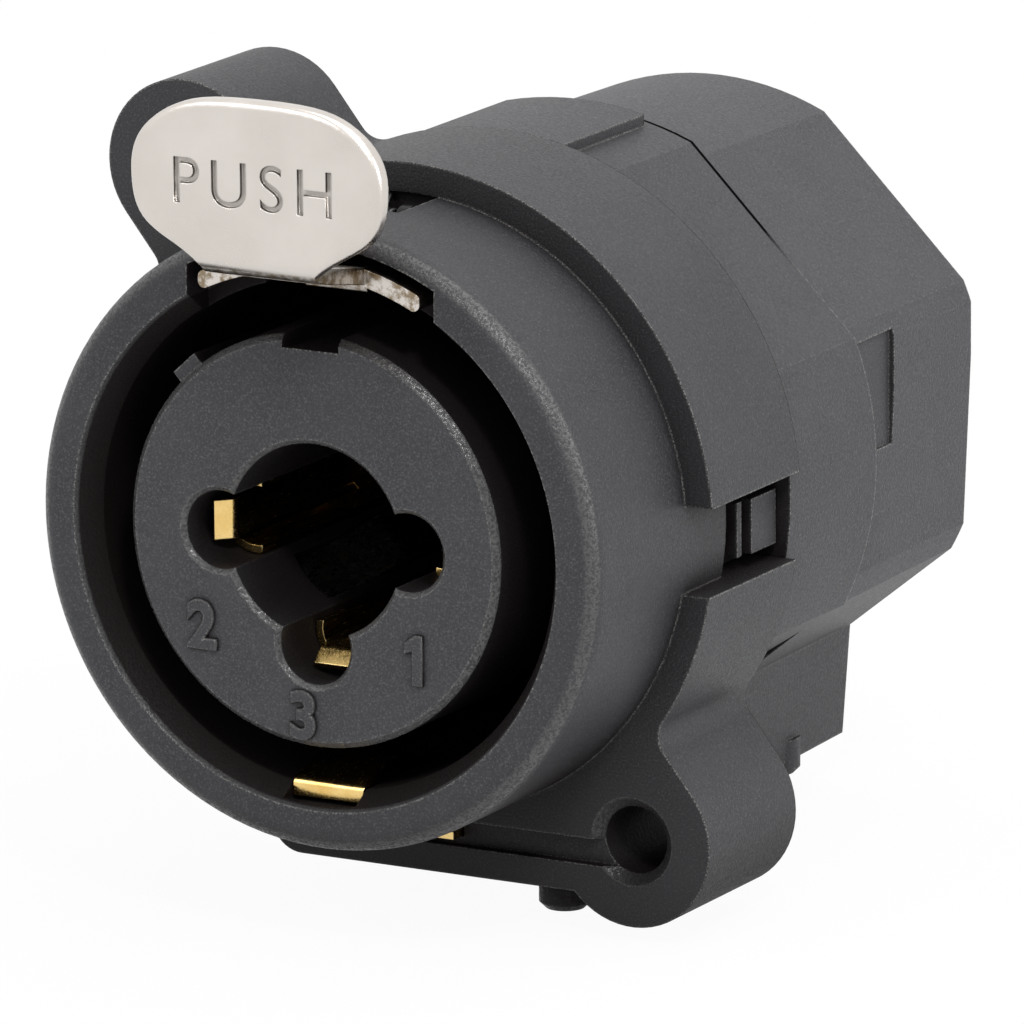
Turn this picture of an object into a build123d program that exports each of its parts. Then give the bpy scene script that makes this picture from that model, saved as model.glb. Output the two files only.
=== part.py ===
from build123d import *
import os
from math import atan2, cos, degrees, radians, sin, sqrt

os.makedirs("parts", exist_ok=True)

# Frame, in millimetres: the origin is the centre of the flange's front face, which is the face that
# meets the panel. The socket's mouth looks along -Y, the rear of the housing is along +Y, +X is to
# the right as seen from the mouth, and +Z is up.

# Nose, the round part that stands through the panel
nose_reach = 7.1
nose_edge_round = 0.85
nose_wall = 2.25
mouth_bevel = 0.65
mouth_depth = 1.1

# Flange and its two fixing ears
flange_step = 1.14
flange_depth = 6.9
hole_side_inset = 2.4
hole_drop = 0.1
ear_radius = 3.3
ear_blend = 1.0
screw_radius = 1.3
screw_sink = 0.4
side_channel_top = 1.15
side_channel_bottom = -2.25
side_window_front = 3.1

# Foot under the flange and the housing
foot_half_width = 5.95
foot_lean = 1.1
foot_drop = 2.3
foot_ear_overlap = 1.1
foot_corner = 1.3
peg_radius = 1.0
peg_root = 1.0
front_peg_x = 5.5
front_peg_y = 2.1
front_peg_drop = 1.3
rear_peg_x = 4.95
rear_peg_inset = 4.4
rear_peg_drop = 0.45

# Main housing behind the flange
strap_height = 0.44
upper_flat_cut = 1.0
lower_flat_cut = 1.6
lower_flat_angle = 56.3
seam_y = 13.9
spigot_length = 2.6
spigot_step = 1.65
spigot_gap = 0.05
shoulder_y = 11.4
shoulder_width = 1.25
strap_half_width = 3.0
strap_length = 6.3

# Snap hooks that hold the housing in the flange's side windows
hook_root = 0.6
hook_height = 1.15
hook_front = 4.7
hook_length = 1.95
hook_top = 0.45
hook_bottom = -1.65
hook_rib_front = 3.85
hook_rib_thickness = 0.35
hook_rib_drop = 0.15

# Rear cover
rear_y = 24.4
cover_step = 0.45
cover_flat_inset = 0.25
cover_side_cut = 1.15
cover_side_taper = 2.7
cover_side_break = 1.9
cover_lower_reach = 11.3
cover_lower_angle = 51.2
cover_foot_step = 0.15
cover_draft = 1.0
cover_wall = 1.2
rear_wall = 0.9
side_groove_depth = 0.3
side_groove_length = 3.8
side_groove_top = 4.3
bridge_top = -0.2
bridge_bottom = -2.8
seam_gap = 0.15
seam_gap_depth = 0.4
seam_gap_half_width = 7.5
seam_gap_bottom = 8.9
rear_recess_depth = 0.4
rear_recess_margin = 1.0

# Contact carrier, the round core that the plug's shell slides over
carrier_wall = 2.39
plug_room = 1.78
carrier_edge = 0.25
jack_mouth_radius = 3.7
mouth_chamfer = 0.18
jack_mouth_step = 0.45
pin_circle = 3.98
lobe_radius = 1.5
lobe_depth = 14.6
carrier_seat_gap = 0.1
carrier_flange_thickness = 1.2
block_half_x = 5.5
block_top = 6.2
block_bottom = -5.9
key_half_width = 1.2
key_depth = 0.6
nub_angle = 132.0
nub_width = 1.2
nub_height = 0.45
nub_length = 9.0

# Contacts
leaf_thickness = 0.3
leaf_clearance = 0.05
leaf_front_inset = 1.4
leaf_half_width = 0.75
leaf_press = 0.55
leaf_lead_run = 0.6
leaf_back_run = 5.0
collar_inset = 2.7
collar_span = 200.0
collar_window = 0.95
collar_root = 3.0
strip_half_width = 1.1
strip_lap = 1.0
tag_reach = 4.0
tag_eye_radius = 0.5
tag_eye_margin = 0.3
spring_thickness = 0.35
spring_half_width = 1.0
spring_outer_run = 5.2
spring_inner_run = 4.35
spring_touch = 2.95
spring_arm = 5.0
spring_bend = 0.3
spring_lead_run = 2.6
spring_lead_drop = 0.3
spring_tip_run = 1.2
spring_tip_rise = 0.7
tip_touch_y = 20.8
ring_touch_y = 16.6
sleeve_touch_y = 2.6
ground_thickness = 0.3
ground_half_width = 1.5
ground_groove_depth = 0.6
ground_press = 0.9
ground_groove_start = 0.3
ground_lip = 0.5
ground_rise = 2.6
ground_fall = 5.2
ground_end_gap = 1.4
panel_strip_x = 1.6
panel_strip_height = 1.6
panel_strip_half = 0.45
panel_strip_proud = 0.35
groove_half = 0.5
groove_left = 0.4
groove_depth = 0.4

# Latch lever, one bent strip of sheet steel
lever_thickness = 0.65
lever_drop = 0.78
lever_half_width = 2.4
lever_rear = 2.2
wing_half_width = 4.7
wing_gap = 0.45
wing_overlap = 0.15
wing_depth = 1.3
wing_corner = 0.25
lever_gap = 0.1
tongue_half_width = 2.42
tongue_reach = 3.3
tongue_rise = 0.75
tongue_bend = 0.9
tab_half_width = 5.3
tab_lift = 3.88
tab_rise = 2.9
tab_fall = 2.7
neck_top = 0.33
tab_edge_round = 0.28
pin_y = -1.5
pin_radius = 0.3
pin_half_span = 2.6
pin_gap = 0.03
lug_inner = 0.8
lug_thickness = 0.45
lug_rim = 0.42
tooth_y = -4.6
tooth_length = 1.0
tooth_half_width = 1.3
tooth_drop = 0.65

# Room for the lever in the nose
slot_half_width = 5.25
slot_wall = 0.6
slot_depth = 1.6
channel_side_gap = 0.35
channel_head_gap = 0.43
lever_stop_gap = 0.02
window_half_width = 1.45
window_front = -3.0
channel_rear = 0.6
spring_seat_y = 0.3

# Return spring, wound round the latch pin
wire_radius = 0.1
coil_gap = 0.04
coil_turns = 4.1
coil_pitch = 0.24
front_leg = 2.4
rear_leg = 1.75

FAR = 60.0


def facing_front(y):
    """Plane at one depth, drawn as seen from the mouth: X to the right, Z up."""
    return Plane(origin=(0, y, 0), x_dir=(1, 0, 0), z_dir=(0, -1, 0))


def slab(outline, front, rear, draft=0.0):
    """Runs an outline, drawn as seen from the mouth, from one depth to another."""
    return extrude(facing_front(front) * outline, amount=front - rear, taper=draft)


def disc(radius, front, rear, x=0.0):
    return slab(Pos(x, 0) * Circle(radius), front, rear)


def block(x_range, y_range, z_range):
    low = (min(x_range), min(y_range), min(z_range))
    size = [max(r) - min(r) for r in (x_range, y_range, z_range)]
    return Pos(*low) * Box(*size, align=(Align.MIN, Align.MIN, Align.MIN))


def turned(shape, angle):
    """Turns a shape drawn on the +X side round to an angle, counted from +X towards +Z."""
    return Rot(0, -angle, 0) * shape


def ribbon(points, thickness, half_width, bend):
    """Bent strip: points are (depth, distance from the axis), drawn on the +X side."""
    path = FilletPolyline(*[(y, u) for y, u in points], radius=bend)
    outline = trace(path, line_width=thickness)
    side = Plane(origin=(0, 0, 0), x_dir=(0, 1, 0), z_dir=(0, 0, -1))
    return extrude(side * outline, amount=half_width, both=True)


def beyond(reach, angle):
    """Everything in the outline's plane that lies further out than a flat at this angle."""
    return Rot(0, 0, angle) * Pos(reach + FAR / 2, 0) * Rectangle(FAR, 2 * FAR)


def housing_outline():
    """Round housing with its two upper and two lower flats."""
    outline = Circle(body_radius)
    for angle in (45, 135):
        outline -= beyond(body_radius - upper_flat_cut, angle)
    for angle in (-lower_flat_angle, lower_flat_angle - 180):
        outline -= beyond(body_radius - lower_flat_cut, angle)
    return outline


def foot_outline(bottom, shrink=0.0):
    """The foot under the round housing, a little wider at its root."""
    low = foot_half_width - shrink
    high = low + foot_lean
    return make_face(Polyline((-high, 0), (-low, bottom), (low, bottom), (high, 0), close=True))


nose_front = -nose_reach
jack_radius = jack_mouth_radius - jack_mouth_step
carrier_radius = pin_circle + lobe_radius + carrier_wall
cavity_radius = carrier_radius + plug_room
nose_radius = cavity_radius + nose_wall
hole_offset_x = nose_radius - hole_side_inset
hole_offset_z = nose_radius + hole_drop
hole_radius_from_axis = sqrt(hole_offset_x**2 + hole_offset_z**2)
ear_angle = degrees(atan2(-hole_offset_z, hole_offset_x))
foot_bottom = -nose_radius - foot_drop
flange_radius = nose_radius + flange_step
body_radius = flange_radius - strap_height
slot_radius = nose_radius - slot_wall
wing_radius = slot_radius - wing_gap
lever_top = slot_radius - lever_drop
lever_bottom = lever_top - lever_thickness
lever_middle = lever_top - lever_thickness / 2
carrier_flange_front = shoulder_y - carrier_flange_thickness
carrier_rear = rear_y - rear_wall
tag_end = rear_y + tag_reach
lobe_end = nose_front + lobe_depth
leaf_front = nose_front + leaf_front_inset
leaf_outer = lobe_radius - leaf_clearance
leaf_inner = leaf_outer - leaf_thickness
collar_front = nose_front + collar_inset
strip_inner = pin_circle + leaf_inner
strip_outer = pin_circle + leaf_outer
rear_peg_y = rear_y - rear_peg_inset
panel_strip_z = foot_bottom + panel_strip_height
mouth_radius = cavity_radius + mouth_bevel
carrier_flange_radius = cavity_radius - carrier_seat_gap
throat_radius = cavity_radius - shoulder_width
spigot_radius = body_radius - spigot_step
hook_reach = spigot_radius + hook_height
hook_inner = spigot_radius - hook_root
block_half_width = body_radius - cover_side_cut
cover_foot_bottom = foot_bottom + cover_foot_step
coil_radius = pin_radius + coil_gap + wire_radius
pin_z = lever_top + coil_radius + wire_radius

# XLR contacts by their place round the axis, and jack springs by place and by touching depth
xlr_places = {1: 0.0, 2: 180.0, 3: 270.0}
jack_places = {
    "tip": (90.0, tip_touch_y),
    "ring": (30.0, ring_touch_y),
    "sleeve": (225.0, sleeve_touch_y),
}


def ear_outline():
    """One straight-sided ear with a round end, drawn towards +X."""
    bar = Pos(hole_radius_from_axis / 2, 0) * Rectangle(hole_radius_from_axis, 2 * ear_radius)
    return bar + Pos(hole_radius_from_axis, 0) * Circle(ear_radius)


def flange_outline():
    """Round flange with its two blended ears and its foot, which runs into the lower ear."""
    outline = Circle(flange_radius)
    for turn in (0, 180):
        outline += Rot(0, 0, ear_angle + turn) * ear_outline()
    joints = [v for v in outline.vertices() if abs(v.center().length - flange_radius) < 0.01]
    outline = fillet(joints, ear_blend)
    foot = foot_outline(foot_bottom)
    corner = foot.vertices().sort_by(Axis.Y)[:2].sort_by(Axis.X)[0]
    foot = fillet(corner, foot_corner)
    link_width = foot_half_width + foot_ear_overlap
    link = Pos(link_width / 2, foot_bottom / 2) * Rectangle(link_width, -foot_bottom)
    return outline + foot + link


def screw_hole(depth):
    hole = disc(screw_radius, -1, depth + 1, hole_radius_from_axis)
    mouth = Cone(screw_radius, screw_radius + screw_sink, screw_sink)
    return hole + Pos(hole_radius_from_axis, screw_sink / 2, 0) * Rot(90, 0, 0) * mouth


def nose_body():
    """Nose, with its rounded rim and the bevel at its mouth, still without the slots."""
    nose = disc(nose_radius, nose_front, 0)
    rim = nose.edges().filter_by(GeomType.CIRCLE).sort_by(Axis.Y)[0]
    nose = fillet(rim, nose_edge_round)
    bevel = Cone(cavity_radius, mouth_radius, mouth_depth)
    return nose - Pos(0, nose_front + mouth_depth / 2, 0) * Rot(90, 0, 0) * bevel


def latch_room():
    """Space in the nose's top for the lever's plate and wings, its pin and the return spring."""
    sector = Circle(slot_radius) - Circle(cavity_radius - 1)
    sector &= Pos(0, FAR / 2) * Rectangle(2 * slot_half_width, FAR)
    room = slab(sector, nose_front - 1, nose_front + slot_depth)
    side = lever_half_width + channel_side_gap
    below = cavity_radius - 1
    ceiling = lever_top + channel_head_gap
    room += block((-side, side), (nose_front - 1, channel_rear), (below, ceiling))
    stop = lever_top + lever_stop_gap
    room += block((-side, side), (0, lever_rear + channel_side_gap), (below, stop))
    across = (-window_half_width, window_half_width)
    room += block(across, (window_front, 0), (lever_top, nose_radius + 1))
    pocket = block(across, (-1, spring_seat_y), (lever_top, nose_radius + 1))
    room += pocket & disc(nose_radius, -1, spring_seat_y)
    return room + latch_pin()


def side_channel():
    """Channel across the flange's rim and the window behind it, drawn at the right."""
    tall = (side_channel_bottom, side_channel_top)
    channel = block((0, FAR), (-1, flange_depth + 1), tall) - disc(nose_radius, -2, FAR)
    window = block((cavity_radius - 1, FAR), (side_window_front, flange_depth + 1), tall)
    return channel + window


def ground_groove(front, rear):
    """Groove along the cavity's floor for the shell's ground spring."""
    half = ground_half_width + leaf_clearance
    floor = cavity_radius + ground_groove_depth
    return block((-half, half), (front, rear), (-floor, -cavity_radius + 1))


def panel_strip_slot():
    """Straight slot through foot, housing and cover for the panel's ground strip."""
    half = panel_strip_half + leaf_clearance
    tall = ground_thickness / 2 + leaf_clearance
    x_range = (panel_strip_x - half, panel_strip_x + half)
    return block(x_range, (-1, rear_y + 1), (panel_strip_z - tall, panel_strip_z + tall))


def foot_peg(x, y, bottom, drop):
    """Short round peg that reaches a little lower than the foot."""
    peg = Cylinder(peg_radius, peg_root + drop)
    peg = chamfer(peg.edges().sort_by(Axis.Z)[0], peg_radius / 4)
    return Pos(x, y, bottom + (peg_root - drop) / 2) * peg


def front_shell():
    shell = nose_body() + slab(flange_outline(), 0, flange_depth)
    shell += foot_peg(front_peg_x, front_peg_y, foot_bottom, front_peg_drop)
    for turn in (0, 180):
        shell -= turned(screw_hole(flange_depth), ear_angle + turn)
    shell -= disc(cavity_radius, nose_front - 1, flange_depth + 1)
    spigot_front = flange_depth - spigot_length - spigot_gap
    shell -= disc(spigot_radius + spigot_gap, spigot_front, flange_depth + 1)
    shell -= latch_room()
    shell -= side_channel()
    shell -= mirror(side_channel(), about=Plane.YZ)
    shell -= ground_groove(nose_front + ground_groove_start, flange_depth + 1)
    shell -= panel_strip_slot()
    groove_z = (panel_strip_z - groove_half, panel_strip_z + groove_half)
    groove = block((groove_left, hole_offset_x), (-1, groove_depth), groove_z)
    return shell - (groove - disc(nose_radius, -2, 1))


def strap(front, rear):
    """Raised pad on the housing's top, as high as the flange."""
    pad = Circle(body_radius + strap_height) - Circle(body_radius - 1)
    pad &= Pos(0, FAR / 2) * Rectangle(2 * strap_half_width, FAR)
    return slab(pad, front, rear)


def snap_hook():
    """Hook on the spigot that fills part of the flange's side window, drawn at the right."""
    height = (hook_bottom, hook_top)
    hook = block((hook_inner, hook_reach), (hook_front, hook_front + hook_length), height)
    hook += block((hook_inner, spigot_radius), (hook_rib_front, hook_front), height)
    rib = (hook_rib_front, hook_rib_front + hook_rib_thickness)
    return hook + block((hook_inner, hook_reach - hook_rib_drop), rib, height)


def main_housing():
    housing = disc(spigot_radius, flange_depth - spigot_length, flange_depth)
    housing += slab(housing_outline() + foot_outline(foot_bottom), flange_depth, seam_y)
    housing += strap(flange_depth, flange_depth + strap_length)
    housing += snap_hook() + mirror(snap_hook(), about=Plane.YZ)
    housing -= disc(cavity_radius, -1, shoulder_y)
    housing -= disc(throat_radius, shoulder_y - 1, seam_y + 1)
    housing -= ground_groove(0, shoulder_y)
    return housing - panel_strip_slot()


def tag_slots():
    """Slots in the cover's rear wall for the contacts' tags."""
    slots = []
    gap = leaf_clearance
    for angle in xlr_places.values():
        half = strip_half_width + gap
        cut = block((strip_inner - gap, strip_outer + gap), (seam_y, rear_y + 1), (-half, half))
        slots.append(turned(cut, angle))
    for angle, _ in jack_places.values():
        half = spring_half_width + gap
        reach = spring_thickness / 2 + gap
        run = (spring_outer_run - reach, spring_outer_run + reach)
        cut = block(run, (seam_y, rear_y + 1), (-half, half))
        slots.append(turned(cut, angle))
    return slots


def cover_outline(shrink=0.0):
    """Outline of the rear block without its foot, with sides that narrow a little downwards."""
    outline = Circle(body_radius - cover_step - shrink)
    outline &= Rectangle(2 * (block_half_width - shrink), FAR)
    for angle in (45, 135):
        outline -= beyond(body_radius - upper_flat_cut - cover_flat_inset - shrink, angle)
    for angle in (-cover_lower_angle, cover_lower_angle - 180):
        outline -= beyond(cover_lower_reach - shrink, angle)
    taper = radians(cover_side_taper)
    reach = block_half_width * cos(taper) - cover_side_break * sin(taper)
    for angle in (-cover_side_taper, cover_side_taper - 180):
        outline -= beyond(reach - shrink, angle)
    return outline


def side_groove():
    """Groove behind the seam, with the flush bridge left across it, drawn at the right."""
    run = (seam_y - 1, seam_y + side_groove_length)
    groove = block((block_half_width - side_groove_depth, FAR), run, (foot_bottom, side_groove_top))
    return groove - block((0, FAR), run, (bridge_bottom, bridge_top))


def top_seam_gap():
    """Narrow gap between housing and cover, open along the top."""
    rim = cover_outline() - cover_outline(seam_gap_depth)
    rim &= Pos(0, seam_gap_bottom + FAR / 2) * Rectangle(2 * seam_gap_half_width, FAR)
    return slab(rim, seam_y, seam_y + seam_gap)


def rear_cover():
    foot = foot_outline(cover_foot_bottom, cover_foot_step)
    cover = slab(cover_outline() + foot, seam_y, rear_y, cover_draft)
    cover += foot_peg(rear_peg_x, rear_peg_y, cover_foot_bottom, rear_peg_drop)
    cover -= slab(cover_outline(cover_wall), seam_y - 1, rear_y - rear_wall, cover_draft)
    cover -= side_groove()
    cover -= mirror(side_groove(), about=Plane.YZ)
    cover -= top_seam_gap()
    wide = 2 * (block_half_x + rear_recess_margin)
    tall = block_top - block_bottom + 2 * rear_recess_margin
    recess = Pos(0, (block_top + block_bottom) / 2) * Rectangle(wide, tall)
    cover -= slab(recess, rear_y - rear_recess_depth, rear_y + 1)
    for slot in tag_slots():
        cover -= slot
    return cover - panel_strip_slot()


def contact_mouth():
    """Jack bore and the three pin lobes as one outline."""
    outline = Circle(jack_mouth_radius)
    for angle in xlr_places.values():
        x = pin_circle * cos(radians(angle))
        z = pin_circle * sin(radians(angle))
        outline += Pos(x, z) * Circle(lobe_radius)
    return outline


def contact_carrier():
    core = disc(carrier_radius, nose_front, carrier_flange_front)
    rim = core.edges().filter_by(GeomType.CIRCLE).sort_by(Axis.Y)[0]
    core = chamfer(rim, carrier_edge)
    nub = block((carrier_radius - 1, carrier_radius + nub_height),
                (nose_front + carrier_edge, nose_front + nub_length), (-nub_width / 2, nub_width / 2))
    core += turned(nub, nub_angle)
    core += disc(carrier_flange_radius, carrier_flange_front, shoulder_y)
    core += block((-block_half_x, block_half_x), (carrier_flange_front, carrier_rear),
                  (block_bottom, block_top))
    core -= slab(contact_mouth(), nose_front - 1, lobe_end)
    front_face = core.faces().filter_by(Axis.Y).sort_by(Axis.Y)[0]
    core = chamfer(front_face.inner_wires().edges(), mouth_chamfer)
    core -= disc(jack_radius, nose_front, rear_y)
    key = (carrier_radius - key_depth, carrier_radius + 1)
    core -= block((-key_half_width, key_half_width), (nose_front - 1, carrier_flange_front), key)
    gap = leaf_clearance
    for angle in xlr_places.values():
        half = strip_half_width + gap
        run = (lobe_end - strip_lap, shoulder_y)
        inner = block((strip_inner - gap, strip_outer + gap), run, (-half, half))
        outer = block((strip_inner - gap, FAR), (shoulder_y, rear_y), (-half, half))
        core -= turned(inner + outer, angle)
    for angle, touch_y in jack_places.values():
        half = spring_half_width + 2 * gap
        front = touch_y - spring_arm - spring_thickness - 2 * gap
        deep = spring_outer_run + spring_thickness / 2 + gap
        inner = block((0, deep), (front, rear_y), (-half, half))
        outer = block((0, FAR), (max(front, shoulder_y), rear_y), (-half, half))
        core -= turned(inner + outer, angle)
    return core


def tag_eye(distance):
    eye_y = tag_end - 2 * tag_eye_radius - tag_eye_margin
    return Pos(distance, eye_y, 0) * Rot(0, 90, 0) * Cylinder(tag_eye_radius, 2)


def xlr_contact(angle):
    """Tube in the pin hole with a spring tongue let out of its wall, then a straight strip and tag."""
    arc = Circle(leaf_outer) - Circle(leaf_inner)
    arc &= Pos(leaf_outer * cos(radians(collar_span / 2)) + FAR / 2, 0) * Rectangle(FAR, FAR)
    place = Pos(pin_circle, 0)
    root_front = lobe_end - collar_root
    tube = slab(place * arc, root_front, lobe_end)
    window = Pos(FAR / 2, 0) * Rectangle(FAR, 2 * collar_window)
    tube += slab(place * (arc - window), collar_front, root_front)
    outer = pin_circle + sqrt(leaf_outer**2 - leaf_half_width**2) - leaf_thickness / 2
    touch_y = leaf_front + leaf_lead_run
    points = [
        (leaf_front, outer),
        (touch_y, outer - leaf_press),
        (touch_y + leaf_back_run, outer),
        (lobe_end - leaf_thickness, outer),
    ]
    leaf = ribbon(points, leaf_thickness, leaf_half_width, leaf_thickness)
    half = strip_half_width
    strip = block((strip_inner, strip_outer), (lobe_end - strip_lap, tag_end), (-half, half))
    strip -= tag_eye(strip_outer)
    return turned(tube + leaf + strip, angle)


def jack_spring(angle, touch_y):
    """Folded leaf: its outer run ends in the tag, its inner run dips into the jack's bore."""
    lean = spring_thickness / 2
    fold = touch_y - spring_arm
    points = [
        (tag_end, spring_outer_run),
        (fold, spring_outer_run),
        (fold, spring_inner_run),
        (touch_y - spring_lead_run, spring_inner_run - spring_lead_drop),
        (touch_y, spring_touch + lean),
        (touch_y + spring_tip_run, spring_touch + lean + spring_tip_rise),
    ]
    strip = ribbon(points, spring_thickness, spring_half_width, spring_bend)
    return turned(strip - tag_eye(spring_outer_run), angle)


def shell_ground_spring():
    """Leaf along the cavity's floor that presses on the plug's shell, with a turned-down front lip."""
    rest = cavity_radius + ground_groove_depth - leaf_clearance - ground_thickness / 2
    bump = cavity_radius - ground_press + ground_thickness / 2
    front = nose_front + mouth_depth
    points = [
        (front, rest),
        (front, rest - ground_lip),
        (front + ground_rise, bump),
        (front + ground_rise + ground_fall, rest),
        (shoulder_y - ground_end_gap, rest),
    ]
    return turned(ribbon(points, ground_thickness, ground_half_width, 0.2), -90)


def panel_ground_strip():
    """Straight strip whose tip stands a little proud of the flange to touch the panel."""
    x_range = (panel_strip_x - panel_strip_half, panel_strip_x + panel_strip_half)
    tall = ground_thickness / 2
    strip = block(x_range, (-panel_strip_proud, tag_end), (panel_strip_z - tall, panel_strip_z + tall))
    eye_y = tag_end - 2 * panel_strip_half
    eye = Pos(panel_strip_x, eye_y, panel_strip_z) * Cylinder(panel_strip_half / 2, 2)
    return strip - eye


def lever_wings():
    """Curved wings that follow the nose's inner wall, on each side of the flat plate."""
    band = Circle(wing_radius) - Circle(wing_radius - lever_thickness)
    band &= Pos(0, FAR / 2) * Rectangle(2 * wing_half_width, FAR)
    band = fillet(band.vertices(), wing_corner)
    band -= Pos(0, FAR / 2) * Rectangle(2 * (lever_half_width - wing_overlap), FAR)
    return slab(band, nose_front - lever_gap, nose_front - lever_gap + wing_depth)


def lever_tab():
    """Oval push tab with its flared neck, its front edge rounded like tumbled sheet."""
    low = lever_bottom + tongue_rise
    tab_middle = lever_top + tab_lift
    wide = tab_half_width
    upper = Spline(
        (0, tab_middle + tab_rise),
        (0.8 * wide, tab_middle + 0.7 * tab_rise),
        (wide, tab_middle),
        tangents=((1, 0), (0, -1)),
    )
    lower = Spline(
        (wide, tab_middle),
        (0.9 * wide, tab_middle - 0.7 * tab_fall),
        (0.67 * wide, tab_middle - tab_fall),
        (tongue_half_width, low + neck_top),
        tangents=((0, -1), (-0.78, -0.62)),
    )
    neck = Line((tongue_half_width, low + neck_top), (tongue_half_width, low))
    floor = Line((tongue_half_width, low), (0, low))
    axis = Line((0, low), (0, tab_middle + tab_rise))
    half = make_face([upper, lower, neck, floor, axis])
    rear = nose_front - tongue_reach
    tab = slab(half + mirror(half, about=Plane.YZ), rear - lever_thickness, rear)
    tab_face = tab.faces().filter_by(Axis.Y).sort_by(Axis.Y)[0]
    return fillet(tab_face.edges().filter_by(GeomType.BSPLINE), tab_edge_round)


def lever_lugs():
    """Pair of eyes on the plate that the pin passes through."""
    rim = pin_radius + lug_rim
    lug = block((lug_inner, lug_inner + lug_thickness), (pin_y - rim, pin_y + rim), (lever_middle, pin_z))
    middle = lug_inner + lug_thickness / 2
    lug += Pos(middle, pin_y, pin_z) * Rot(0, 90, 0) * Cylinder(rim, lug_thickness)
    eye = Cylinder(pin_radius + pin_gap, 3 * lug_thickness)
    lug -= Pos(middle, pin_y, pin_z) * Rot(0, 90, 0) * eye
    return lug + mirror(lug, about=Plane.YZ)


def bend_corner():
    """What the tab's lower front corner loses where the sheet bends back."""
    front = nose_front - tongue_reach - lever_thickness
    low = lever_bottom + tongue_rise
    across = (-tab_half_width, tab_half_width)
    corner = block(across, (front - 1, front + tongue_bend), (low - 1, low + tongue_bend))
    rod = Rot(0, 90, 0) * Cylinder(tongue_bend, 2 * tab_half_width)
    return corner - Pos(0, front + tongue_bend, low + tongue_bend) * rod


def lever_tongue(front):
    """Sloping strip that joins the plate to the push tab."""
    tab_rear = nose_front - tongue_reach
    joint_y = tab_rear - lever_thickness / 2
    side_points = [
        (front + lever_thickness, lever_bottom),
        (front + lever_thickness, lever_top),
        (tab_rear, lever_top + tongue_rise),
        (joint_y, lever_top + tongue_rise),
        (joint_y, lever_bottom + tongue_rise),
        (tab_rear, lever_bottom + tongue_rise),
    ]
    across = Plane(origin=(-tongue_half_width, 0, 0), x_dir=(0, 1, 0), z_dir=(1, 0, 0))
    profile = make_face(Polyline(*side_points, close=True))
    return extrude(across * profile, amount=2 * tongue_half_width)


def latch_lever():
    front = nose_front - lever_gap
    half = lever_half_width
    lever = lever_tab() + lever_tongue(front) - bend_corner()
    lever += block((-half, half), (front, lever_rear), (lever_bottom, lever_top))
    lever += lever_wings()
    lever += lever_lugs()
    tooth = (tooth_y - tooth_length / 2, tooth_y + tooth_length / 2)
    across = (-tooth_half_width, tooth_half_width)
    return lever + block(across, tooth, (lever_bottom - tooth_drop, lever_middle))


def latch_pin():
    return Pos(0, pin_y, pin_z) * Rot(0, 90, 0) * Cylinder(pin_radius, 2 * pin_half_span)


def latch_spring():
    """Torsion spring on the pin: one leg lies on the lever, the other leans on the flange."""
    height = coil_pitch * coil_turns
    helix = Helix(coil_pitch, height, coil_radius)
    front = Line(helix @ 0 - (helix % 0) * front_leg, helix @ 0)
    rear = Line(helix @ 1, helix @ 1 + (helix % 1) * rear_leg)
    section = Plane(front @ 0, z_dir=front % 0) * Circle(wire_radius)
    wire = sweep(section, path=Wire([front, helix, rear]))
    spring = Pos(0, pin_y, pin_z) * Rot(0, 90, 0) * Pos(0, 0, -height / 2) * wire
    return mirror(spring, about=Plane.YZ)


def save(shape, node):
    export_step(shape, f"parts/{node}.step")


save(front_shell(), "front_shell")
save(main_housing(), "main_housing")
save(rear_cover(), "rear_cover")
save(contact_carrier(), "contact_carrier")
save(latch_lever(), "latch_lever")
save(latch_pin(), "latch_pin")
save(latch_spring(), "latch_spring")
save(shell_ground_spring(), "shell_ground_spring")
save(panel_ground_strip(), "panel_ground_strip")
for number, place in xlr_places.items():
    save(xlr_contact(place), f"xlr_contact_{number}")
for name, (place, depth) in jack_places.items():
    save(jack_spring(place, depth), f"jack_{name}_spring")
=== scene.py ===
import math

import bmesh
import bpy
from mathutils import Matrix, Vector


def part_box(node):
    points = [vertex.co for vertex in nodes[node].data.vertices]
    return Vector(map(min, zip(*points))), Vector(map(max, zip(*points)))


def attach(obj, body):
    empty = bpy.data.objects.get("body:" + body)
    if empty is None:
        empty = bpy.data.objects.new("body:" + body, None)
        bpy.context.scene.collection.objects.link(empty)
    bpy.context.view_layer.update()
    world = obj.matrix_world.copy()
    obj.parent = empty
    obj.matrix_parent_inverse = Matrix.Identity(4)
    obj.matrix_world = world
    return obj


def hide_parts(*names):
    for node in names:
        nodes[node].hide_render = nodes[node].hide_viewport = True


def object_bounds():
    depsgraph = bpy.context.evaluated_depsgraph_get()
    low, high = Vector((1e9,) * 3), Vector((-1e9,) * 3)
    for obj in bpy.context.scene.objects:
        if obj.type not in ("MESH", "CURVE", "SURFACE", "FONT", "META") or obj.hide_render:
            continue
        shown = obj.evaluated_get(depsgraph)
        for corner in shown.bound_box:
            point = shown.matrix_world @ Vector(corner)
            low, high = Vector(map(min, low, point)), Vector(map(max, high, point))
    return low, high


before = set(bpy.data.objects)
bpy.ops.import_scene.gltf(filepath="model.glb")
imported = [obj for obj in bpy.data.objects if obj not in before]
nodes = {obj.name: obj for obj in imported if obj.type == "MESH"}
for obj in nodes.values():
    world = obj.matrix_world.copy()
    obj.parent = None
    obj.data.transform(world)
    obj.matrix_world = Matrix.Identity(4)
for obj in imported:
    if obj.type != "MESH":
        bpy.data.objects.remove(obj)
cad_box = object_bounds()

MM = 0.001

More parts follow.
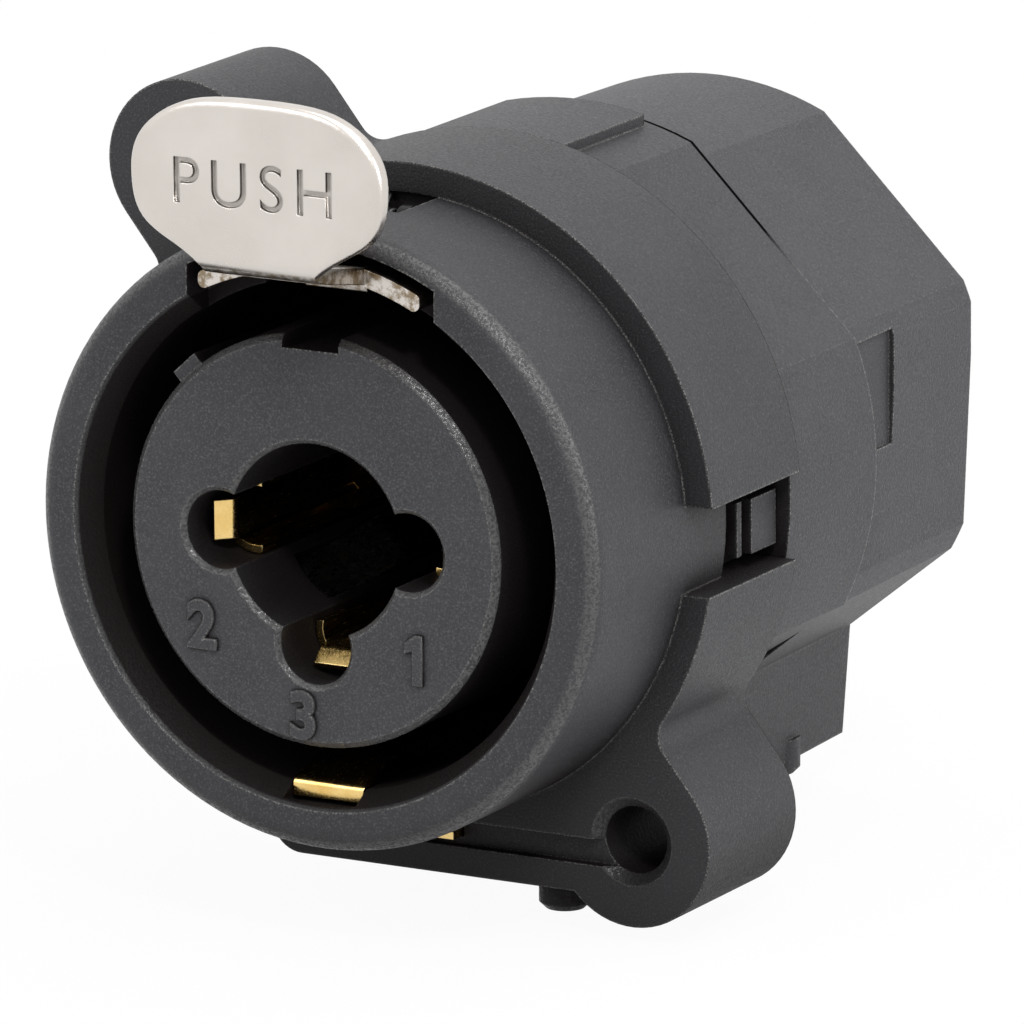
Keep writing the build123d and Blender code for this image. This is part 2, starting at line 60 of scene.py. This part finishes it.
# Camera, fitted to the flange, nose, core and ears as the photograph shows them
AZIMUTH = 0.5103
ELEVATION = 0.2363
ROLL = -0.008
DISTANCE = 450 * MM
AIM_RIGHT = 3.9309 * MM
AIM_UP = -0.3608 * MM
FOCAL_PIXELS = 12007.09
IMAGE_PIXELS = 1024
SENSOR_WIDTH = 36.0

# Faces that carry the lettering, the part's underside, and where the lever's wings and rear carry
# painted shade
TAB_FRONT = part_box("latch_lever")[0][1]
CORE_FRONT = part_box("contact_carrier")[0][1]
LOWEST = cad_box[0][2]
WINGS_TOP = 10.9 * MM
EYES_FRONT = -3.2 * MM

# Lettering: height of the bare outline, straight depth to each side of the face, rounded edge
# beyond that depth, and how far the outline grows, taken halfway across the rounded edge
DIGIT_SIZES = {"height": 1.7 * MM, "depth": 0.09 * MM, "edge": 0.05 * MM, "stroke": 0.09 * MM}
WORD_SIZES = {"height": 1.75 * MM, "depth": 0.11 * MM, "edge": 0.04 * MM, "stroke": -0.02 * MM}
# Points of a letter that are nearer than this are one point
SAME_POINT = 1e-7

# Centres of the pin numbers on the core's face, and the outline of the 1, one unit high
DIGIT_PLACES = {
    "1": (4.3 * MM, -4.0 * MM),
    "2": (-4.75 * MM, -3.65 * MM),
    "3": (-0.45 * MM, -6.65 * MM),
}
ONE_OUTLINE = (
    (0.20, 0.0), (0.33, 0.0), (0.33, 1.0), (0.22, 1.0), (0.0, 0.84), (0.0, 0.72), (0.20, 0.80),
)

# Word in the tab, how wide its letters are set, and its centre
WORD = "PUSH"
WORD_SPACING = 1.27
WORD_PLACE = (-0.05 * MM, 14.15 * MM)

# Plastic: the greys of its grain and how bluish they are, then the colours of its glass flecks,
# worn edges with a painted highlight, polished faces, and the painted shade of its seams and
# hollows
PLASTIC_GREYS = (0.025, 0.034, 0.045)
PLASTIC_BLUE = 1.1
GLASS_FLECK = (0.20, 0.20, 0.21)
WORN_AND_HIGHLIT_PLASTIC = (0.42, 0.41, 0.38)
BUFFED_PLASTIC = (0.065, 0.063, 0.06)
SEAM_PAINTED_SHADE = (0.004, 0.004, 0.004)
PLASTIC_PAINTED_SHADE = (0.012, 0.009, 0.009)

# light: how light the moulding's plastic is
# seam_from: height above which its rear edges are painted dark as the shade in its seams
# crack_from: place along it from which it is painted dark as the shade in the crack behind it
# polish: how much plugs have polished its slanted front edges
# shut: how open a hollow still is when its painted shade has turned all dark
# mouth: radius of the mouth inside which the plastic is painted dark as shade
EVERYWHERE = -1.0
NOWHERE = 1.0
MOULDINGS = {
    "front_shell": {
        "light": 0.82, "seam_from": EVERYWHERE, "crack_from": NOWHERE,
        "polish": 0.6, "shut": 0.25, "mouth": 10.17 * MM,
    },
    "main_housing": {
        "light": 1.05, "seam_from": 7.0 * MM, "crack_from": 13.68 * MM,
        "polish": 0.0, "shut": 0.25, "mouth": 0.0,
    },
    "rear_cover": {
        "light": 1.16, "seam_from": NOWHERE, "crack_from": NOWHERE,
        "polish": 0.0, "shut": 0.0, "mouth": 0.0,
    },
    "contact_carrier": {
        "light": 1.0, "seam_from": NOWHERE, "crack_from": NOWHERE,
        "polish": 1.0, "shut": 0.5, "mouth": 0.0,
    },
}

# The lever's nickel, then the colours of the painted highlight on its edges and of the painted
# shade in its grooves, on its wings, on its rear and in its hollows
DULL_NICKEL = (0.65, 0.605, 0.56)
BRIGHT_NICKEL = (0.735, 0.69, 0.645)
NICKEL_EDGE_HIGHLIGHT = (0.82, 0.78, 0.75)
NICKEL_GROOVE_SHADE = (0.47, 0.43, 0.395)
WING_SLOT_SHADE = (0.27, 0.21, 0.14)
LUG_PAINTED_SHADE = (0.03, 0.03, 0.03)
NICKEL_PAINTED_SHADE = (0.05, 0.042, 0.035)

# Each other metal: the nodes that are made of it, and what it looks like; shine is the colour of
# the painted highlight on its edges
METALS = {
    "gold_plate": (
        (
            "shell_ground_spring",
            "panel_ground_strip",
            "xlr_contact_1",
            "xlr_contact_2",
            "xlr_contact_3",
        ),
        {
            "dull": (0.80, 0.53, 0.17), "bright": (0.95, 0.70, 0.30), "shine": (1.0, 0.80, 0.42),
            "smooth": 0.12, "rough": 0.28,
        },
    ),
    "tin_plate": (
        ("jack_tip_spring", "jack_ring_spring", "jack_sleeve_spring"),
        {
            "dull": (0.42, 0.41, 0.40), "bright": (0.58, 0.57, 0.55), "shine": (0.93, 0.92, 0.90),
            "smooth": 0.22, "rough": 0.38,
        },
    ),
    "black_steel": (
        ("latch_pin", "latch_spring"),
        {
            "dull": (0.05, 0.05, 0.05), "bright": (0.09, 0.09, 0.09), "shine": (0.16, 0.16, 0.16),
            "smooth": 0.3, "rough": 0.5,
        },
    ),
}

# Floor: how far it reaches, its gap to the part, and how white the camera sees it
FLOOR_REACH = 3.0
FLOOR_GAP = 0.4 * MM
FLOOR_WHITE = 0.95

# Colour and strength of the studio's even light, and of the white that the camera sees
STUDIO_LIGHT = ((0.95, 0.97, 1.0, 1.0), 0.4)
STUDIO_WHITE = ((1.0, 1.0, 1.0, 1.0), 1.0)

# Each lamp: place, aim, width and height, and power
SOFTBOXES = {
    "key": ((-0.35, -0.55, 0.55), (0, 0, 0), (0.5, 0.4), 1.3),
    "top": ((0.15, 0.15, 0.75), (0, 0.01, 0), (0.7, 0.7), 3.0),
    "side": ((0.75, 0.1, 0.25), (0, 0.01, 0), (0.4, 0.5), 2.0),
    "glint": ((0.43, -0.45, 0.65), (0, 0, 0), (0.12, 0.12), 2.6),
}


class Shader:
    """Short way to build one material's nodes."""

    def __init__(self, name):
        self.material = bpy.data.materials.new(name)
        self.material.use_nodes = True
        self.tree = self.material.node_tree
        self.surface = self.tree.nodes["Principled BSDF"]

    def add(self, kind, **values):
        node = self.tree.nodes.new(kind)
        for key, value in values.items():
            setattr(node, key, value)
        return node

    def link(self, source, target):
        self.tree.links.new(source, target)

    def drive(self, name, source):
        """Link a value to one of the surface's inputs."""
        self.link(source, self.surface.inputs[name])

    def place(self):
        return self.add("ShaderNodeTexCoord").outputs["Object"]

    def noise(self, scale, detail=2.0, rough=0.5, place=None):
        node = self.add("ShaderNodeTexNoise")
        node.inputs["Scale"].default_value = scale
        node.inputs["Detail"].default_value = detail
        node.inputs["Roughness"].default_value = rough
        self.link(place or self.place(), node.inputs["Vector"])
        return node.outputs["Fac"]

    def stretch(self, factors):
        node = self.add("ShaderNodeMapping")
        node.inputs["Scale"].default_value = factors
        self.link(self.place(), node.inputs["Vector"])
        return node.outputs["Vector"]

    def between(self, value, low, high, new_low=0.0, new_high=1.0):
        node = self.add("ShaderNodeMapRange")
        node.inputs["From Min"].default_value = low
        node.inputs["From Max"].default_value = high
        node.inputs["To Min"].default_value = new_low
        node.inputs["To Max"].default_value = new_high
        self.link(value, node.inputs["Value"])
        return node.outputs["Result"]

    def maths(self, operation, first, second):
        node = self.add("ShaderNodeMath", operation=operation)
        for socket, value in zip(node.inputs, (first, second)):
            if isinstance(value, (int, float)):
                socket.default_value = value
            else:
                self.link(value, socket)
        return node.outputs["Value"]

    def times(self, first, second):
        return self.maths("MULTIPLY", first, second)

    def mix(self, factor, first, second):
        node = self.add("ShaderNodeMix", data_type="RGBA")
        self.link(factor, node.inputs["Factor"])
        for socket, value in zip((node.inputs[6], node.inputs[7]), (first, second)):
            if isinstance(value, tuple):
                socket.default_value = (*value, 1.0)
            else:
                self.link(value, socket)
        return node.outputs[2]

    def edges(self, radius):
        """Softened normal and a mask that is high along sharp edges."""
        bevel = self.add("ShaderNodeBevel", samples=6)
        bevel.inputs["Radius"].default_value = radius
        plain = self.add("ShaderNodeNewGeometry")
        turn = self.add("ShaderNodeVectorMath", operation="DOT_PRODUCT")
        self.link(bevel.outputs["Normal"], turn.inputs[0])
        self.link(plain.outputs["Normal"], turn.inputs[1])
        return bevel.outputs["Normal"], self.between(turn.outputs["Value"], 0.995, 0.8)

    def along(self, vector, axis):
        node = self.add("ShaderNodeSeparateXYZ")
        self.link(vector, node.inputs[0])
        return node.outputs[axis]

    def past(self, axis, start, end):
        """Mask that rises from one place on an axis to another and stays high past the second."""
        return self.between(self.along(self.place(), axis), start, end)

    def slanted(self):
        """Mask of the faces that lean between the front and the sides."""
        lean = self.along(self.add("ShaderNodeNewGeometry").outputs["Normal"], "Y")
        from_face = self.between(lean, -0.92, -0.82)
        from_side = self.between(lean, -0.3, -0.45)
        return self.times(from_face, from_side)

    def occlusion_shade(self, reach, dark, shut=0.25, clear=0.88):
        """Painted shade: a factor, from ambient occlusion, that falls towards dark where the
        surface is shut in.
        """
        node = self.add("ShaderNodeAmbientOcclusion", samples=4)
        node.inputs["Distance"].default_value = reach
        return self.between(node.outputs["AO"], shut, clear, dark, 1.0)

    def within(self, radius):
        """Mask of what lies nearer to the socket's axis than a radius."""
        node = self.add("ShaderNodeVectorMath", operation="LENGTH")
        self.link(self.stretch((1.0, 0.0, 1.0)), node.inputs[0])
        return self.between(node.outputs["Value"], radius + 0.05 * MM, radius)

    def bump(self, height, strength, distance, normal):
        node = self.add("ShaderNodeBump")
        node.inputs["Strength"].default_value = strength
        node.inputs["Distance"].default_value = distance
        self.link(height, node.inputs["Height"])
        self.link(normal, node.inputs["Normal"])
        return node.outputs["Normal"]


def moulded_plastic(node, light, seam_from, crack_from, polish, shut, mouth):
    """Matt black glass-filled nylon with a fine spark-eroded grain; its edges are worn and painted
    lighter as a highlight, and its hollows, seams and mouth carry painted shade.
    """
    s = Shader(node + "_plastic")
    grain = s.noise(scale=8500, detail=3.0, rough=0.65)
    cloud = s.noise(scale=420, detail=3.0)
    speck = s.noise(scale=13000, detail=1.0)
    rounded, edge = s.edges(0.15 * MM)

    greys = (light * v for v in PLASTIC_GREYS)
    dark, middle, pale = ((grey, grey, grey * PLASTIC_BLUE) for grey in greys)
    tone = s.mix(s.between(cloud, 0.35, 0.65), dark, middle)
    grained = s.mix(s.between(speck, 0.36, 0.62), tone, pale)
    flecked = s.mix(s.times(s.between(speck, 0.60, 0.72), 0.2), grained, GLASS_FLECK)
    # Edges speckled lighter: partly wear, partly a painted highlight
    worn_highlight = s.times(edge, s.between(speck, 0.45, 0.62, 0.05, 0.9))
    bright = s.mix(worn_highlight, flecked, WORN_AND_HIGHLIT_PLASTIC)
    polished = s.times(s.slanted(), s.between(grain, 0.44, 0.56, 0.15 * polish, polish))
    buffed = s.mix(polished, bright, BUFFED_PLASTIC)

    # Painted shade: black along rear-facing edges and on a band at the rear end, standing in for
    # the shade in the seam and crack, above a given height
    rear_edge = s.times(s.between(s.along(rounded, "Y"), 0.1, 0.25), edge)
    crack = s.past("Y", crack_from, crack_from + 0.04 * MM)
    high = s.past("Z", seam_from, seam_from + 1.5 * MM)
    seam = s.times(s.maths("MAXIMUM", rear_edge, crack), high)
    seam_shaded = s.mix(seam, buffed, SEAM_PAINTED_SHADE)
    # Painted shade: darker in hollows, from ambient occlusion, and darker still inside the mouth
    outside = s.maths("SUBTRACT", 1.0, s.times(s.within(mouth), 0.85))
    shade = s.times(s.occlusion_shade(9 * MM, dark=0.1, shut=shut), outside)
    s.drive("Base Color", s.mix(shade, PLASTIC_PAINTED_SHADE, seam_shaded))

    matt = s.between(grain, 0.3, 0.7, 0.62, 0.40)
    s.drive("Roughness", s.maths("SUBTRACT", matt, s.times(polished, 0.30)))
    open_part = s.times(shade, s.maths("SUBTRACT", 1.0, seam))
    gloss = s.maths("ADD", 0.4, s.times(polished, 0.6))
    s.drive("Specular IOR Level", s.times(open_part, gloss))
    s.drive("Normal", s.bump(grain, strength=0.8, distance=0.035 * MM, normal=rounded))
    return s.material


def plated_steel():
    """Satin nickel, clouded and finely scratched, with painted highlights on its edges and painted
    shade in its grooves, on its wings below the tab, on its rear and in its hollows.
    """
    s = Shader("plated_steel")
    cloud = s.noise(scale=260, detail=4.0, rough=0.6)
    scratch = s.noise(scale=900, place=s.stretch((1.0, 14.0, 9.0)))
    rounded, edge = s.edges(0.09 * MM)

    tone = s.mix(s.between(cloud, 0.3, 0.7), DULL_NICKEL, BRIGHT_NICKEL)
    # Painted highlight along the edges
    highlit_edges = s.mix(s.times(edge, 0.2), tone, NICKEL_EDGE_HIGHLIGHT)
    # Painted shade in grooves such as the pressed word, from ambient occlusion
    groove_shaded = s.mix(s.occlusion_shade(0.35 * MM, dark=0.0), NICKEL_GROOVE_SHADE, highlit_edges)
    # Painted shade on the wings below the tab, where they sit in the slot: brownish and blotchy
    below_tab = s.past("Z", WINGS_TOP + 0.1 * MM, WINGS_TOP)
    blotch = s.between(s.noise(scale=2600, detail=3.0, rough=0.7), 0.42, 0.58, 0.05, 1.0)
    slot_shaded = s.mix(s.times(below_tab, blotch), groove_shaded, WING_SLOT_SHADE)
    # Painted shade: the lever is black behind the front of its eyes, where it lies inside the
    # housing
    lug_shaded = s.mix(s.past("Y", EYES_FRONT - 0.1 * MM, EYES_FRONT), slot_shaded, LUG_PAINTED_SHADE)
    # Painted shade in hollows, from ambient occlusion
    s.drive("Base Color", s.mix(s.occlusion_shade(3 * MM, dark=0.2), NICKEL_PAINTED_SHADE, lug_shaded))

    s.drive("Roughness", s.between(cloud, 0.3, 0.7, 0.24, 0.36))
    s.surface.inputs["Metallic"].default_value = 1.0
    s.drive("Normal", s.bump(scratch, strength=0.12, distance=0.01 * MM, normal=rounded))
    return s.material


def metal(name, dull, bright, shine, smooth, rough):
    """Contact or spring metal, slightly clouded, drawn along its length, with a painted highlight
    on its edges and painted shade in its hollows.
    """
    s = Shader(name)
    cloud = s.noise(scale=700, detail=3.0)
    drawn = s.noise(scale=2500, place=s.stretch((6.0, 0.4, 6.0)))
    rounded, edge = s.edges(0.06 * MM)

    tone = s.mix(s.between(cloud, 0.3, 0.7), dull, bright)
    # Painted highlight along the edges
    highlit_metal = s.mix(s.times(edge, 0.7), tone, shine)
    # Painted shade in hollows, from ambient occlusion
    hollow_shade = tuple(0.22 * v for v in dull)
    s.drive("Base Color", s.mix(s.occlusion_shade(8 * MM, dark=0.0, shut=0.05, clear=0.5), hollow_shade, highlit_metal))

    s.drive("Roughness", s.between(drawn, 0.3, 0.7, smooth, rough))
    s.surface.inputs["Metallic"].default_value = 1.0
    s.drive("Normal", s.bump(drawn, strength=0.12, distance=0.008 * MM, normal=rounded))
    return s.material


def dress(obj, material):
    obj.data.materials.clear()
    obj.data.materials.append(material)


def written(name, words, spacing=1.0):
    curve = bpy.data.curves.new(name + "_outline", "FONT")
    curve.body = words
    curve.size = 1.0
    curve.space_character = spacing
    return curve


def numeral_one(name):
    """A flagged 1, drawn as one outline."""
    curve = bpy.data.curves.new(name + "_outline", "CURVE")
    curve.dimensions = "2D"
    curve.fill_mode = "BOTH"
    outline = curve.splines.new("POLY")
    outline.points.add(len(ONE_OUTLINE) - 1)
    for point, (x, y) in zip(outline.points, ONE_OUTLINE):
        point.co = (x, y, 0.0, 1.0)
    outline.use_cyclic_u = True
    return curve


def lettering(name, curve, centre, front, material, height, depth, edge, stroke):
    """Words as a solid that reaches equally far to both sides of a face looking along -Y."""
    shape = bpy.data.objects.new(name + "_outline", curve)
    bpy.context.collection.objects.link(shape)
    bpy.context.view_layer.update()
    scale = height / shape.dimensions.y
    curve.extrude = depth / scale
    curve.bevel_depth = edge / scale
    curve.bevel_resolution = 1
    curve.offset = (stroke - edge / 2) / scale
    graph = bpy.context.evaluated_depsgraph_get()
    mesh = bpy.data.meshes.new_from_object(shape.evaluated_get(graph))
    bpy.data.objects.remove(shape)
    mesh.transform(Matrix.Diagonal((scale, scale, scale, 1.0)))
    lows = [min(v.co[i] for v in mesh.vertices) for i in (0, 1)]
    highs = [max(v.co[i] for v in mesh.vertices) for i in (0, 1)]
    mesh.transform(Matrix.Translation((-(lows[0] + highs[0]) / 2, -(lows[1] + highs[1]) / 2, 0)))
    mesh.transform(Matrix.Rotation(math.pi / 2, 4, "X"))
    mesh.transform(Matrix.Translation((centre[0], front, centre[1])))
    cleaned = bmesh.new()
    cleaned.from_mesh(mesh)
    bmesh.ops.remove_doubles(cleaned, verts=cleaned.verts, dist=SAME_POINT)
    bmesh.ops.recalc_face_normals(cleaned, faces=cleaned.faces)
    cleaned.to_mesh(mesh)
    cleaned.free()
    mesh.name = name
    piece = bpy.data.objects.new(name, mesh)
    bpy.context.collection.objects.link(piece)
    dress(piece, material)
    return piece


def core_digits(material):
    """Raised pin numbers on the core's face."""
    for digit, place in DIGIT_PLACES.items():
        name = "pin_number_" + digit
        curve = numeral_one(name) if digit == "1" else written(name, digit)
        piece = lettering(name, curve, place, CORE_FRONT, material, **DIGIT_SIZES)
        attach(piece, "socket")


def marked_lever(material):
    """The lever with its word pressed into the tab's front."""
    plain = nodes["latch_lever"]
    lever = plain.copy()
    lever.data = plain.data.copy()
    lever.name = "marked_lever"
    bpy.context.collection.objects.link(lever)
    curve = written("pressed_word", WORD, WORD_SPACING)
    word = lettering("pressed_word", curve, WORD_PLACE, TAB_FRONT, material, **WORD_SIZES)
    cut = lever.modifiers.new("word", "BOOLEAN")
    cut.operation = "DIFFERENCE"
    cut.solver = "EXACT"
    cut.object = word
    graph = bpy.context.evaluated_depsgraph_get()
    lever.data = bpy.data.meshes.new_from_object(lever.evaluated_get(graph))
    lever.modifiers.clear()
    bpy.data.objects.remove(word)
    dress(lever, material)
    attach(lever, "latch")
    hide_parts("latch_lever")


def background_material():
    """Pale floor that the camera sees as nearly plain white."""
    s = Shader("pale_ground")
    s.surface.inputs["Base Color"].default_value = (0.93, 0.93, 0.94, 1.0)
    s.surface.inputs["Roughness"].default_value = 0.9
    rays = s.add("ShaderNodeLightPath").outputs
    seen = s.maths("MAXIMUM", rays["Is Camera Ray"], rays["Is Glossy Ray"])
    choose = s.add("ShaderNodeMixShader")
    s.link(s.times(seen, FLOOR_WHITE), choose.inputs[0])
    s.link(s.surface.outputs[0], choose.inputs[1])
    s.link(s.add("ShaderNodeEmission").outputs[0], choose.inputs[2])
    s.link(choose.outputs[0], s.tree.nodes["Material Output"].inputs["Surface"])
    return s.material


def floor():
    """Large floor under the socket."""
    mesh = bpy.data.meshes.new("ground")
    low, high, z = -FLOOR_REACH, FLOOR_REACH, LOWEST - FLOOR_GAP
    corners = [(low, low, z), (high, low, z), (high, high, z), (low, high, z)]
    mesh.from_pydata(corners, [], [(0, 1, 2, 3)])
    ground = bpy.data.objects.new("ground", mesh)
    bpy.context.collection.objects.link(ground)
    dress(ground, background_material())


def white_world():
    """Even studio light; the camera, mirrored rays and transmitted rays see white."""
    world = bpy.data.worlds.new("studio")
    bpy.context.scene.world = world
    world.use_nodes = True
    tree = world.node_tree
    tree.nodes.clear()
    rays = tree.nodes.new("ShaderNodeLightPath")
    seen = rays.outputs["Is Camera Ray"]
    for kind in ("Is Glossy Ray", "Is Transmission Ray"):
        either = tree.nodes.new("ShaderNodeMath")
        either.operation = "MAXIMUM"
        tree.links.new(seen, either.inputs[0])
        tree.links.new(rays.outputs[kind], either.inputs[1])
        seen = either.outputs[0]
    choose = tree.nodes.new("ShaderNodeMixShader")
    tree.links.new(seen, choose.inputs[0])
    for slot, (colour, strength) in ((1, STUDIO_LIGHT), (2, STUDIO_WHITE)):
        light = tree.nodes.new("ShaderNodeBackground")
        light.inputs["Color"].default_value = colour
        light.inputs["Strength"].default_value = strength
        tree.links.new(light.outputs[0], choose.inputs[slot])
    out = tree.nodes.new("ShaderNodeOutputWorld")
    tree.links.new(choose.outputs[0], out.inputs["Surface"])


def softbox(name, place, aim, size, power):
    light = bpy.data.lights.new(name, "AREA")
    light.shape = "RECTANGLE"
    light.size, light.size_y = size
    light.energy = power
    lamp = bpy.data.objects.new(name, light)
    bpy.context.collection.objects.link(lamp)
    lamp.location = place
    lamp.rotation_euler = (Vector(aim) - Vector(place)).to_track_quat("-Z", "Y").to_euler()


def camera():
    back = Vector((
        math.sin(AZIMUTH) * math.cos(ELEVATION),
        -math.cos(AZIMUTH) * math.cos(ELEVATION),
        math.sin(ELEVATION),
    ))
    level = Vector((math.cos(AZIMUTH), math.sin(AZIMUTH), 0.0))
    upright = back.cross(level)
    right = math.cos(ROLL) * level + math.sin(ROLL) * upright
    up = -math.sin(ROLL) * level + math.cos(ROLL) * upright
    lens = bpy.data.cameras.new("view")
    lens.sensor_width = SENSOR_WIDTH
    lens.lens = FOCAL_PIXELS * SENSOR_WIDTH / IMAGE_PIXELS
    lens.clip_start = 0.05
    lens.clip_end = 20.0
    eye = bpy.data.objects.new("view", lens)
    bpy.context.collection.objects.link(eye)
    turn = Matrix((right, up, back)).transposed().to_4x4()
    eye.matrix_world = Matrix.Translation(DISTANCE * back + AIM_RIGHT * right + AIM_UP * up) @ turn
    bpy.context.scene.camera = eye


plastics = {node: moulded_plastic(node, **look) for node, look in MOULDINGS.items()}
for node, plastic in plastics.items():
    dress(nodes[node], plastic)
steel = plated_steel()
dress(nodes["latch_lever"], steel)
for name, (made_of_it, look) in METALS.items():
    material = metal(name, **look)
    for node in made_of_it:
        dress(nodes[node], material)
core_digits(plastics["contact_carrier"])
marked_lever(steel)

floor()
white_world()
for name, settings in SOFTBOXES.items():
    softbox(name, *settings)
camera()

bpy.context.scene.view_settings.view_transform = "Standard"
